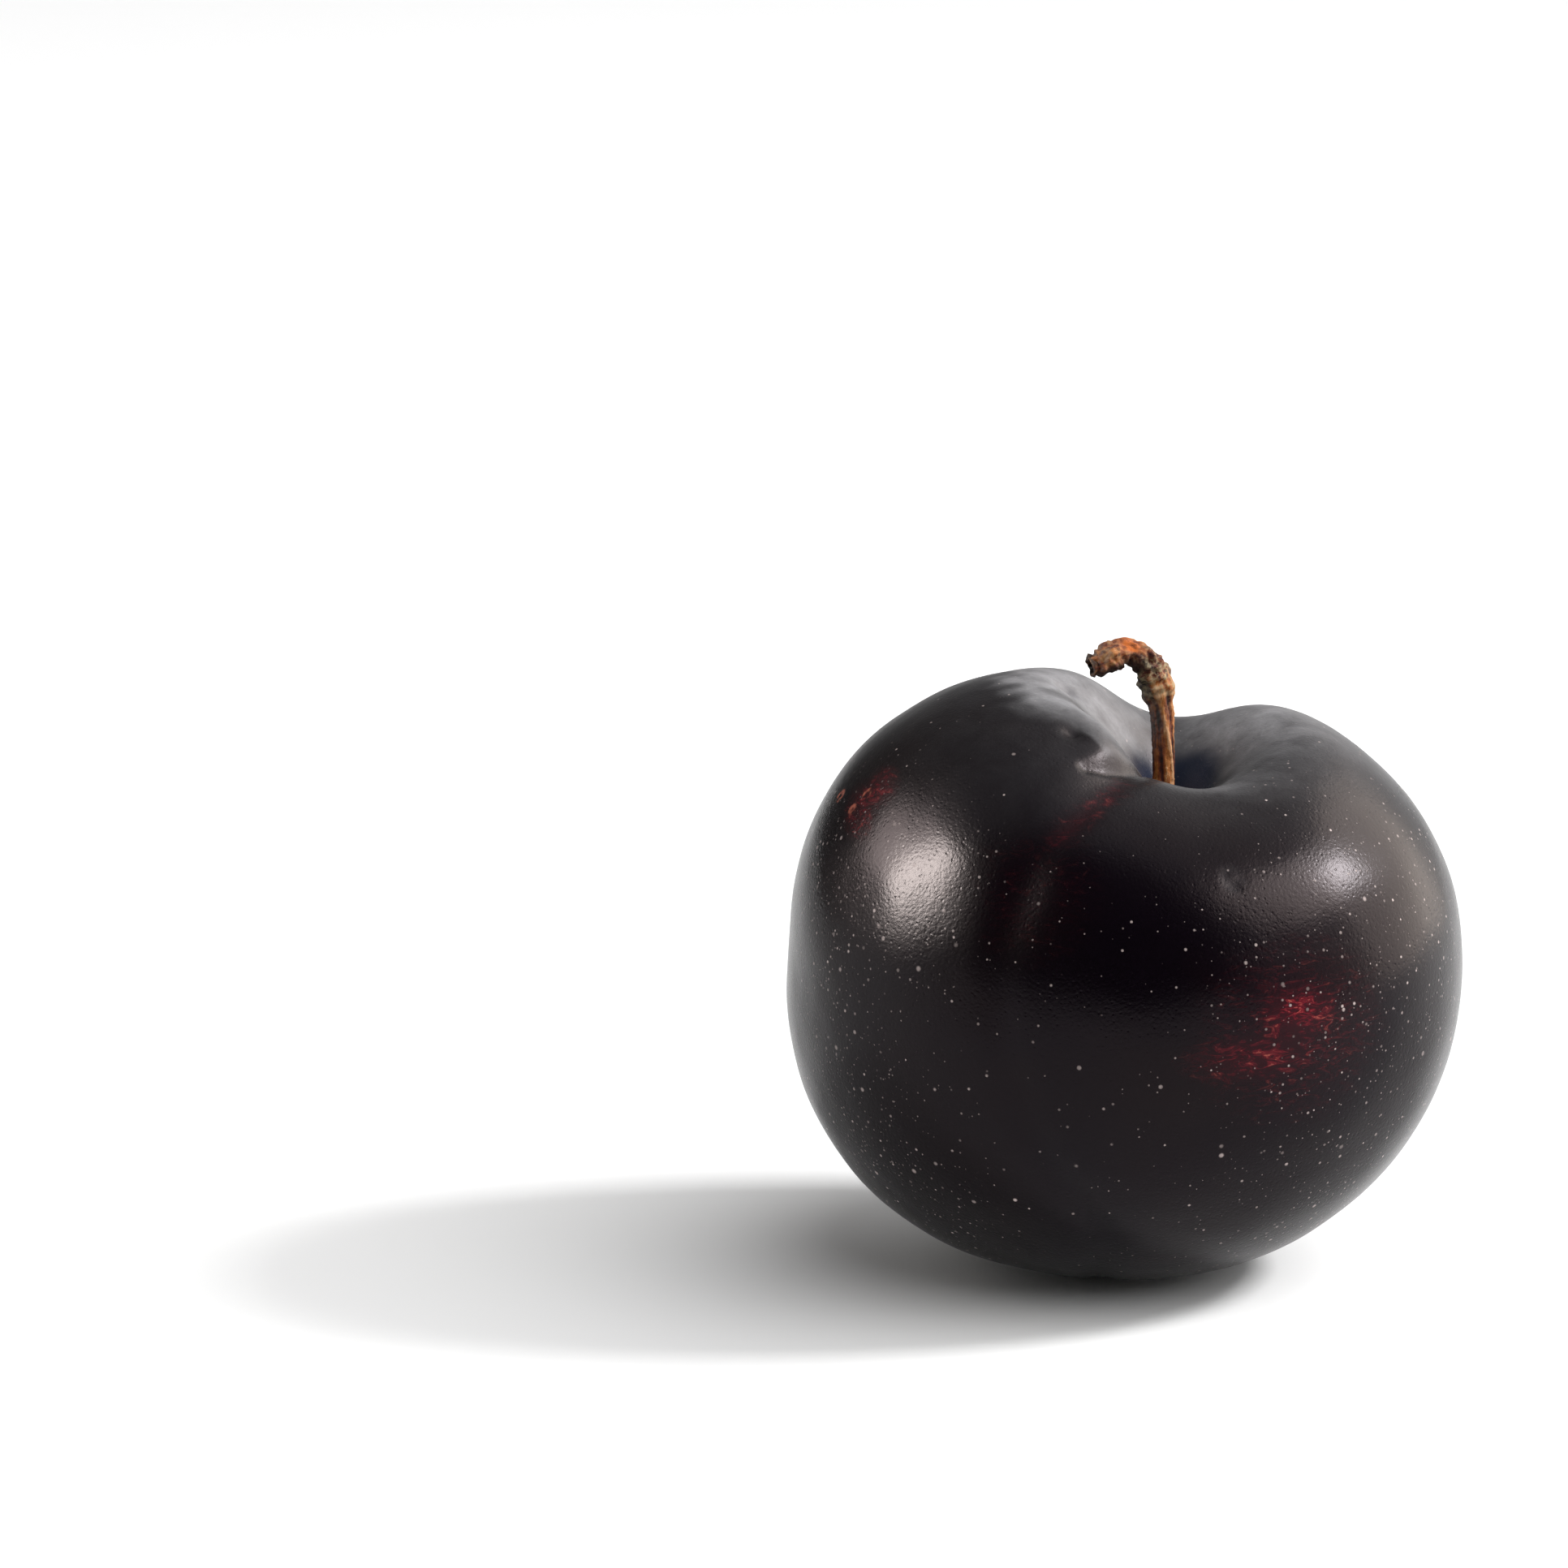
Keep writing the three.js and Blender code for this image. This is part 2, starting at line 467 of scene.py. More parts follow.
    def _red(self, tree: Tree, place: Socket, seam: Socket) -> tuple[Socket, Socket]:
        """Makes the red that the ripe skin still shows, in level streaks.

        Args:
            tree: The material's node tree.
            place: The place on the fruit.
            seam: How red the skin is along the suture.

        Returns:
            How red the skin is, and how much the streaks' finest threads show in it.
        """
        total = seam
        for patch in self.patches:
            moved = add_node(tree, "ShaderNodeVectorMath", {
                0: place,
                1: [c * MM for c in patch.centre],
            }, operation="SUBTRACT")
            scaled = add_node(tree, "ShaderNodeVectorMath", {
                0: moved.outputs[0],
                1: [r * MM for r in patch.radii],
            }, operation="DIVIDE")
            reach = add_node(tree, "ShaderNodeVectorMath", {0: scaled.outputs[0]}, operation="LENGTH")
            share = add_node(tree, "ShaderNodeMapRange", {
                "Value": reach.outputs["Value"],
                "From Min": self.patch_fade,
                "From Max": 0.0,
                "To Max": patch.strength,
            }, interpolation_type="SMOOTHSTEP")
            grown = add_node(tree, "ShaderNodeMath", {0: total, 1: share.outputs[0]}, operation="ADD")
            total = grown.outputs[0]
        level = add_node(tree, "ShaderNodeMapping", {
            "Vector": place,
            "Scale": (self.streak_squeeze, self.streak_squeeze, 1.0),
            "Rotation": (0, self.streak_tilt, 0),
        })
        streak = add_node(tree, "ShaderNodeTexNoise", {
            "Vector": level.outputs[0],
            "Scale": 1 / (self.streak_width * MM),
            "Detail": 4.0,
            "Roughness": 0.68,
            "Distortion": 1.6,
        })
        lines, threads = (
            add_node(tree, "ShaderNodeMapRange", {
                "Value": streak.outputs["Fac"],
                "From Min": low,
                "From Max": high,
            }, interpolation_type="SMOOTHSTEP").outputs[0]
            for low, high in (self.streak_levels, self.thread_levels)
        )
        wash = add_node(tree, "ShaderNodeMath", {
            0: lines,
            1: self.streak_contrast,
            2: 1 - self.streak_contrast,
        }, operation="MULTIPLY_ADD")
        redness = add_node(tree, "ShaderNodeMath", {
            0: total,
            1: wash.outputs[0],
        }, operation="MULTIPLY", use_clamp=True)
        shown = add_node(tree, "ShaderNodeMath", {0: redness.outputs[0], 1: threads}, operation="MULTIPLY")
        return redness.outputs[0], shown.outputs[0]

    def _rings(self, tree: Tree, place: Socket) -> Socket:
        """Makes the ragged corky rings round the old insect bites.

        Args:
            tree: The material's node tree.
            place: The place on the fruit.

        Returns:
            How corky the rings make the skin.
        """
        rings: Any = 0.0
        for bite in self.bites:
            reach = add_node(tree, "ShaderNodeVectorMath", {
                0: place,
                1: [c * MM for c in bite.centre],
            }, operation="DISTANCE").outputs["Value"]
            edge = add_node(tree, "ShaderNodeMath", {0: reach, 1: bite.radius * MM}, operation="SUBTRACT")
            away = add_node(tree, "ShaderNodeMath", {0: edge.outputs[0]}, operation="ABSOLUTE")
            ring = add_node(tree, "ShaderNodeMapRange", {
                "Value": away.outputs[0],
                "From Min": self.ring_width * MM,
                "From Max": self.ring_core * MM,
            }, interpolation_type="SMOOTHSTEP")
            widest = add_node(tree, "ShaderNodeMath", {0: rings, 1: ring.outputs[0]}, operation="MAXIMUM")
            rings = widest.outputs[0]
        ragged = add_node(tree, "ShaderNodeTexNoise", {
            "Vector": place,
            "Scale": 1 / (self.ring_tear * MM),
            "Detail": 3.0,
        })
        torn = add_node(tree, "ShaderNodeMapRange", {
            "Value": ragged.outputs["Fac"],
            "From Min": 0.4,
            "From Max": 0.6,
        })
        broken = add_node(tree, "ShaderNodeMath", {0: rings, 1: torn.outputs[0]}, operation="MULTIPLY")
        return broken.outputs[0]

    def _lenticels(self, tree: Tree, place: Socket, crowd: Socket) -> Socket:
        """Makes the pale dots. Each has a size and a tone of its own, and a few are bright.

        Args:
            tree: The material's node tree.
            place: The place on the fruit.
            crowd: The share of the dots that show.

        Returns:
            How pale the dots make the skin.
        """
        dots: Any = 0.0
        for size in self.lenticel_sizes:
            cells = add_node(tree, "ShaderNodeTexVoronoi", {
                "Vector": place,
                "Scale": 1 / (size.spacing * MM),
            })
            draw = add_node(tree, "ShaderNodeSeparateColor", {"Color": cells.outputs["Color"]})
            smallest = self.smallest_lenticel * size.radius / size.spacing
            edge = add_node(tree, "ShaderNodeMath", {
                0: draw.outputs["Green"],
                1: smallest,
                2: smallest,
            }, operation="MULTIPLY_ADD")
            core = add_node(tree, "ShaderNodeMath", {
                0: edge.outputs[0],
                1: self.lenticel_core,
            }, operation="MULTIPLY")
            dot = add_node(tree, "ShaderNodeMapRange", {
                "Value": cells.outputs["Distance"],
                "From Min": edge.outputs[0],
                "From Max": core.outputs[0],
                "To Max": size.paleness,
            }, interpolation_type="SMOOTHSTEP")
            kept = add_node(tree, "ShaderNodeMath", {
                0: draw.outputs["Red"],
                1: crowd,
            }, operation="LESS_THAN")
            bright = add_node(tree, "ShaderNodeMath", {
                0: draw.outputs["Blue"],
                1: draw.outputs["Blue"],
            }, operation="MULTIPLY")
            tone = add_node(tree, "ShaderNodeMath", {
                0: bright.outputs[0],
                1: 1 - self.faintest_lenticel,
                2: self.faintest_lenticel,
            }, operation="MULTIPLY_ADD")
            for share in (kept, tone):
                dot = add_node(tree, "ShaderNodeMath", {
                    0: dot.outputs[0],
                    1: share.outputs[0],
                }, operation="MULTIPLY")
            palest = add_node(tree, "ShaderNodeMath", {0: dots, 1: dot.outputs[0]}, operation="MAXIMUM")
            dots = palest.outputs[0]
        return dots

    def _haze(self, tree: Tree, place: Socket, bloom: Socket) -> Socket:
        """Brushes the grey haze (bloom, partly painted reflection and highlight) into cloudy smears, as
        fingers do.

        Args:
            tree: The material's node tree.
            place: The place on the fruit.
            bloom: How much haze is left: bloom, partly painted reflection and highlight.

        Returns:
            How much of the haze shows.
        """
        brushed = add_node(tree, "ShaderNodeMapping", {
            "Vector": place,
            "Rotation": (0.0, 0.0, math.radians(self.smear_turn)),
            "Scale": (0.8, 1.0, 0.9),
        })
        clouds = add_node(tree, "ShaderNodeTexNoise", {
            "Vector": brushed.outputs[0],
            "Scale": 1 / (self.smear_size * MM),
            "Detail": 9.0,
            "Roughness": 0.72,
            "Distortion": 0.3,
        })
        low, high = self.smear_levels
        smear = add_node(tree, "ShaderNodeMapRange", {
            "Value": clouds.outputs["Fac"],
            "From Min": low,
            "From Max": high,
            "To Min": self.smear_least,
        })
        haze = add_node(tree, "ShaderNodeMath", {0: bloom, 1: smear.outputs[0]}, operation="MULTIPLY")
        return haze.outputs[0]

    def _relief(self, tree: Tree, place: Socket, dots: Socket) -> Socket:
        """Makes the skin's fine grain, pores and raised dots.

        Args:
            tree: The material's node tree.
            place: The place on the fruit.
            dots: How pale the dots make the skin.

        Returns:
            The socket of the normal.
        """
        pores = add_node(tree, "ShaderNodeTexVoronoi", {
            "Vector": place,
            "Scale": 1 / (self.pore_spacing * MM),
        })
        pits = add_node(tree, "ShaderNodeMapRange", {
            "Value": pores.outputs["Distance"],
            "From Min": 0.0,
            "From Max": self.pore_reach,
        }, interpolation_type="SMOOTHSTEP")
        grain = add_node(tree, "ShaderNodeTexNoise", {
            "Vector": place,
            "Scale": 1 / (self.grain_spacing * MM),
            "Detail": 2.0,
        })
        below = {}
        for height, depth in (
            (grain.outputs["Fac"], self.grain_depth),
            (pits.outputs[0], self.pore_depth),
            (dots, self.lenticel_height),
        ):
            bump = add_node(tree, "ShaderNodeBump", {
                "Height": height,
                "Strength": 1.0,
                "Distance": depth * MM,
                **below,
            })
            below = {"Normal": bump.outputs[0]}
        return below["Normal"]


@dataclass
class Fruit:
    """Skin and flesh of the plum, one grown piece. Sizes are in millimetres and angles in degrees."""

    half_width: float = 29.35
    half_depth: float = 26.7
    depth_below: float = 27.8
    height_above: float = 25.6
    square_below: tuple[float, float] = (2.1, 2.35)
    square_above: tuple[float, float] = (2.06, 2.36)
    middle_height: float = 27.5
    lean: float = 3.0
    funnel_x: float = 2.2
    funnel_depth: float = 10.4
    funnel_radius: float = 7.1
    funnel_skew: float = 0.1
    saddles: tuple[Saddle, ...] = (Saddle(-83, 54, 5.8), Saddle(87, 30, 4.7))
    saddle_reach: float = 22.7
    saddle_start: float = 4.0
    swellings: tuple[Mark, ...] = (Mark((-1.0, 1.0), 0.8, 3.0), Mark((-2.6, -6.0), 1.3, 4.2))
    suture_direction: float = -116.0
    suture_bend: float = 21.0
    suture_middle: float = 77.0
    suture_reach: float = 54.0
    suture_width: float = 1.9
    suture_ends: float = 0.3
    suture_depths: tuple[float, float, float] = (0.9, 0.25, 0.35)
    fold_from: tuple[float, float] = (-4.5, -12.7)
    fold_to: tuple[float, float] = (-0.6, -9.2)
    fold_height: float = 0.8
    fold_edge: float = 0.5
    fold_fade: float = 3.5
    fold_ends: float = 1.2
    blossom_dimple: Mark = Mark((0.8, -6.9), 0.4, 1.3)
    crowding: float = 1.25
    crease: tuple[tuple[float, float], ...] = (
        (-4.2, -13.4),
        (-2.4, -12.6),
        (-0.6, -10.9),
        (0.6, -9.0),
        (1.4, -7.2),
    )
    crease_depth: float = 0.5
    crease_width: float = 0.45
    nicks: tuple[Mark, ...] = (Mark((-5.0, -9.5), -0.55, 0.9), Mark((-5.2, 2.4), -0.7, 0.9))
    marked_from: tuple[float, float] = (38, 41)
    scar: tuple[tuple[tuple[float, float, float], ...], ...] = (
        ((7.3, -21.2, 40.4), (7.2, -21.6, 39.9), (7.5, -21.9, 39.2)),
        ((8.0, -20.9, 40.6), (8.5, -21.1, 40.3), (8.7, -21.4, 39.7)),
        ((8.0, -21.6, 39.6), (8.1, -21.9, 39.0)),
    )
    scratch_depth: float = 0.09
    scratch_width: float = 0.32
    # Uneven swell of the skin, which lies so far inside the solid's size that no wave passes it
    swell: float = 0.07
    swell_length: float = 14.0
    ripple: float = 0.01
    ripple_length: float = 5.0
    inset: float = 0.17
    # Lenticels: the share that shows in front and at the sides, and how clouds, crown and left side change it
    dot_shares: tuple[float, float] = (0.13, 0.8)
    bare_direction: float = -8.0
    bare_reach: tuple[float, float] = (12, 62)
    dot_cloud_length: float = 16.0
    dot_clouds: tuple[float, float] = (0.55, 1.15)
    crown_dots: float = 0.12
    crown_rise: tuple[float, float] = (34, 50)
    left_dots: float = 1.5
    left_reach: tuple[float, float] = (6, 18)
    bare_hollow: Mark = Mark((3.0, 0.0), 0.9, 9.0)
    # Rubbed bloom, partly painted reflection on the lobes and a painted highlight along the front lip:
    # its front edge on the left lobe, its places and how much of it is left on each
    bloom_edge: tuple[tuple[float, float], ...] = (
        (-16.0, -2.0),
        (-12.5, -4.0),
        (-10.8, -4.9),
        (-9.2, -7.4),
        (-6.8, -8.2),
        (-5.4, -8.6),
        (-4.4, -9.2),
        (-3.3, -10.6),
        (-2.4, -11.5),
        (-0.6, -9.9),
        (0.6, -8.0),
        (1.4, -6.2),
    )
    bloom_ragged: float = 5.0
    bloom_rise: tuple[float, float] = (40, 46)
    left_bloom_and_reflection: float = 0.72
    right_bloom_and_reflection: Mark = Mark((9.0, 3.0), 0.8, 8.5, (1.0, 0.8))
    # Painted highlight: a pale band along the front lip
    lip_highlight: Mark = Mark((7.5, -10.0), 0.22, 2.2, (0.5, 1.0))
    crown_bloom: float = 0.04
    scratch_bloom: float = 0.05
    # Painted shade in the cavity's depth beside the stem: its middle, squeeze, reach and strength
    deep_middle: tuple[float, float] = (4.2, 1.5)
    deep_squeeze: tuple[float, float] = (0.75, 0.6)
    deep_reach: tuple[float, float] = (2.1, 3.7)
    cavity_shade: float = 0.75
    crown_dullness: float = 0.08
    red_seam: tuple[tuple[float, float, float], ...] = (
        (-0.9, -14.0, 46.6),
        (-2.2, -16.0, 46.0),
        (-4.1, -18.4, 44.9),
        (-6.5, -20.5, 43.2),
    )
    seam_redness: float = 0.32
    seam_width: float = 0.85
    foot_cork: Mark = Mark((2.9, 0.0), 1.0, 2.3)
    blossom_cork: Mark = Mark((0.8, -6.9), 0.8, 0.8)
    segments: int = 360
    rings: int = 250
    finish: WaxySkin = field(default_factory=WaxySkin)

    def build(self) -> Piece:
        """Models the fruit from a sphere: pressed to its form, then cut flat where it rests.

        Returns:
            The finished fruit.
        """
        begin("fruit")
        bpy.ops.mesh.primitive_uv_sphere_add(
            segments=self.segments,
            ring_count=self.rings,
            radius=self.half_width * MM,
        )
        fruit = bpy.context.active_object
        self._press(fruit)
        bpy.ops.object.mode_set(mode="EDIT")
        bpy.ops.mesh.select_all(action="SELECT")
        bpy.ops.mesh.bisect(
            plane_co=(0, 0, 0),
            plane_no=(0, 0, 1),
            use_fill=True,
            clear_inner=True,
            threshold=0.001 * MM,
        )
        bpy.ops.mesh.select_all(action="SELECT")
        bpy.ops.mesh.normals_make_consistent(inside=False)
        bpy.ops.object.mode_set(mode="OBJECT")
        bpy.ops.object.shade_smooth_by_angle(angle=math.radians(35))
        fruit = settle(fruit, "fruit_skin")
        self._paint(fruit)
        fruit.data.materials.append(self.finish.build())
        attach(fruit, "root")
        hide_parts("fruit")
        log.info("fruit has %d faces", len(fruit.data.polygons))
        return fruit

    def _body(self, from_top: np.ndarray, azimuth: np.ndarray) -> np.ndarray:
        """Returns the body's places without its marks.

        Args:
            from_top: Angle down from the stem end for each place.
            azimuth: Compass direction for each place.

        Returns:
            Places in the fruit's own frame, one row each.
        """
        out, up = np.sin(from_top), np.cos(from_top)
        left = (1 - np.cos(azimuth)) / 2
        power = np.where(up > 0, mix(*self.square_above, left), mix(*self.square_below, left))
        size = (np.abs(out) ** power + np.abs(up) ** power) ** (-1 / power)
        radius = mix(self.half_depth, self.half_width, np.cos(azimuth) ** 2) * out * size
        height = np.where(up > 0, self.height_above, self.depth_below) * up * size
        return np.stack([radius * np.cos(azimuth), radius * np.sin(azimuth), height], axis=1)

    def _cavity(self, x: np.ndarray, y: np.ndarray) -> np.ndarray:
        """Works out how far the cavity and its saddles press the top down.

        Args:
            x: Places along the width.
            y: Places along the depth.

        Returns:
            The depth at each place.
        """
        distance = np.hypot(x - self.funnel_x, y)
        direction = np.arctan2(y, x - self.funnel_x)
        clear = distance ** 2 / (distance ** 2 + self.saddle_start ** 2)
        width = self.funnel_radius * (1 + self.funnel_skew * np.cos(direction) * clear)
        saddle = np.zeros(len(x))
        for dip in self.saddles:
            turn = direction - math.radians(dip.towards)
            fan = bell(np.arctan2(np.sin(turn), np.cos(turn)), math.radians(dip.spread))
            saddle += dip.depth * (clear * fan + (1 - clear) / 4)
        reach = np.exp(-((distance / self.saddle_reach) ** 3))
        swelling = sum(mark.at(x, y) for mark in self.swellings)
        return self.funnel_depth * bell(distance, width) + saddle * reach - swelling

    def _fold(self, x: np.ndarray, y: np.ndarray) -> np.ndarray:
        """Works out how far the fold's edge raises the left lobe.

        Args:
            x: Places along the width.
            y: Places along the depth.

        Returns:
            The rise at each place.
        """
        start, end = np.array(self.fold_from), np.array(self.fold_to)
        length = np.linalg.norm(end - start)
        along = (end - start) / length
        place = np.stack([x, y], axis=1) - start
        across = place @ np.array([-along[1], along[0]])
        beyond = np.abs(place @ along - length / 2) / (length / 2)
        step = 0.5 + 0.5 * np.tanh(across / self.fold_edge)
        fade = bell(np.maximum(across, 0), self.fold_fade) * bell(beyond, self.fold_ends)
        return self.fold_height * step * fade

    def _suture(self, from_top: np.ndarray, azimuth: np.ndarray, radius: np.ndarray) -> np.ndarray:
        """Works out how deep the suture's groove is.

        Args:
            from_top: Angle down from the stem end for each place.
            azimuth: Compass direction for each place.
            radius: Distance from the fruit's axis for each place.

        Returns:
            The depth at each place.
        """
        bend = (from_top - math.radians(self.suture_middle)) / math.radians(self.suture_reach)
        line = np.radians(self.suture_direction + self.suture_bend * np.minimum(bend ** 2, 1))
        across = radius * np.arctan2(np.sin(azimuth - line), np.cos(azimuth - line))
        at_rim, at_equator, at_blossom = self.suture_depths
        deepest = np.where(bend < 0, at_rim, at_blossom)
        depth = mix(at_equator, deepest, np.minimum(bend ** 4, 1))
        ends = np.minimum(1, np.sin(from_top) / self.suture_ends) ** 2
        return depth * ends * bell(across, self.suture_width)

    def _press(self, fruit: Piece) -> None:
        """Presses the sphere to the fruit's form, leans it over and stands it on the ground.

        Args:
            fruit: The sphere that becomes the fruit.
        """
        ball = read_points(fruit)
        up = np.clip(ball[:, 2] / np.linalg.norm(ball, axis=1), -1, 1)
        azimuth = np.arctan2(ball[:, 1], ball[:, 0])
        from_top = math.pi * (np.arccos(up) / math.pi) ** self.crowding
        points = self._body(from_top, azimuth)
        x, y = points[:, 0].copy(), points[:, 1].copy()
        outward = points / np.linalg.norm(points, axis=1)[:, None]
        rise = self.swell * waves(points, self.swell_length, 18, seed=4) - self.inset
        rise += self.ripple * waves(points, self.ripple_length, 22, seed=9)
        rise -= self._suture(from_top, azimuth, np.hypot(x, y))
        upper = points[:, 2] > 0
        points += outward * rise[:, None]
        fade = np.clip(3 * points[:, 2] / self.height_above, 0, 1)
        top = fade * (self._fold(x, y) - self._cavity(x, y))
        points[:, 2] += np.where(upper, top, self.blossom_dimple.at(x, y))
        turn = math.radians(self.lean)
        lean = np.array([
            [math.cos(turn), 0, math.sin(turn)],
            [0, 1, 0],
            [-math.sin(turn), 0, math.cos(turn)],
        ])
        points = points @ lean.T
        points[:, 2] += self.middle_height
        x, y, z = points.T
        plan = np.stack([x, y, np.zeros(len(x))], axis=1)
        route = [(*corner, 0.0) for corner in self.crease]
        crease = self.crease_depth * bell(line_distance(plan, route), self.crease_width)
        points[:, 2] += smooth(z, *self.marked_from) * (sum(mark.at(x, y) for mark in self.nicks) - crease)
        for scratch in self.scar:
            depth = self.scratch_depth * bell(line_distance(points, scratch), self.scratch_width)
            points -= outward * depth[:, None]
        write_points(fruit, points)

    def _paint(self, fruit: Piece) -> None:
        """Stores where lenticels, bloom with its painted reflection and highlight, the cavity's painted
        shade, dullness, red and cork lie, for the skin's finish to read.

        Args:
            fruit: The pressed fruit.
        """
        points = read_points(fruit)
        x, y, z = points.T
        # Painted shade: the cavity's depth beside the stem is painted dark blue, and the haze is taken out
        # there
        aside, ahead = ((points[:, :2] - self.deep_middle) * self.deep_squeeze).T
        deep = 1 - smooth(np.hypot(aside, ahead), *self.deep_reach)
        below_rim = smooth(z, 37, 41) * (1 - 0.7 * smooth(z, 44.5, 46.5))
        seam = bell(line_distance(points, self.red_seam), self.seam_width)
        paint(fruit, "lenticels", self._crowd(points))
        # The grey haze: bloom, partly painted reflection on the lobes and a painted highlight along the front
        # lip
        paint(fruit, "bloom", np.clip(self._bloom_and_reflection(points) * (1 - 0.95 * deep), 0, 0.9))
        paint(fruit, "cavity_shade", self.cavity_shade * deep * below_rim)
        paint(fruit, "dull", self.crown_dullness * smooth(z, 41, 49))
        paint(fruit, "suture_red", self.seam_redness * seam)
        foot = self.foot_cork.at(x, y) * smooth(z, 36, 38)
        blossom = self.blossom_cork.at(x, y) * smooth(-z, -6, -3)
        paint(fruit, "cork", np.clip(foot + blossom, 0, 1))

    def _crowd(self, points: np.ndarray) -> np.ndarray:
        """Shares out the lenticels: few in front and on the crown, most on the left.

        Args:
            points: Places on the fruit, one row each.

        Returns:
            The share that shows at each place.
        """
        x, y, z = points.T
        clouds = np.clip(0.5 + 0.5 * waves(points, self.dot_cloud_length, 14, seed=21), 0, 1)
        compass = np.degrees(np.arctan2(x, -y))
        crowd = mix(*self.dot_shares, smooth(np.abs(compass - self.bare_direction), *self.bare_reach))
        crowd *= mix(*self.dot_clouds, clouds) * mix(1, self.crown_dots, smooth(z, *self.crown_rise))
        crowd *= mix(1, self.left_dots, smooth(-x, *self.left_reach))
        hollow = self.bare_hollow.at(x, y) * smooth(z, 36, 44)
        return np.clip(crowd * (1 - hollow), 0, 1)

    def _bloom_and_reflection(self, points: np.ndarray) -> np.ndarray:
        """Works out the grey haze on the lobes, the front lip, the crown and the scratches.

        It is bloom, partly painted reflection on the lobes, and a painted highlight along the front lip.

        Args:
            points: Places on the fruit, one row each.

        Returns:
            The share of haze at each place.
        """
        x, y, z = points.T
        ragged = waves(points, self.bloom_ragged, 24, seed=31)
        height = smooth(z + ragged, *self.bloom_rise)
        edge_x, edge_y = np.array(self.bloom_edge).T
        inward = y - np.interp(x, edge_x, edge_y)
        # On the left lobe the grey haze is bloom and partly painted reflection
        # The front edge is soft on the shoulder and sharp beside the stem
        softness = mix(3.0, 0.4, smooth(x, -10, -3))
        left = self.left_bloom_and_reflection * height * smooth(inward / softness, -0.5, 1) * smooth(-x, -9, 0)
        # It ends ragged behind and on the outer shoulder, where it stops short so that the shoulder lies
        # dark:
        # painted shade. It is thinner along its edge and on the fold
        left *= bell(np.maximum(y - 3 + ragged, 0), 7) * smooth(x + 1.2 * ragged, -12, -7.5)
        left *= mix(0.6, 1, smooth(inward, 0.5, 4)) * mix(1, 0.55, smooth(-y, 4, 9))
        # On the right lobe, where it is partly painted reflection, it starts beyond the cavity's wall and
        # thins out to the front
        right = self.right_bloom_and_reflection.at(x, y) * height * smooth(x, 3.5, 7) * mix(0.5, 1, smooth(y, -7, 1))
        # Painted highlight: a pale band along the front lip
        lip = self.lip_highlight.at(x, y) * smooth(z, 40, 43)
        scuffs = sum(bell(line_distance(points, scratch), 0.4) for scratch in self.scar)
        return left + right + lip + self.crown_bloom * smooth(z, 40, 50) + self.scratch_bloom * scuffs


@dataclass(frozen=True)
class Station:
    """One place on the stem's middle line, with the stem's radius there, in millimetres."""

    at: tuple[float, float, float]
    radius: float


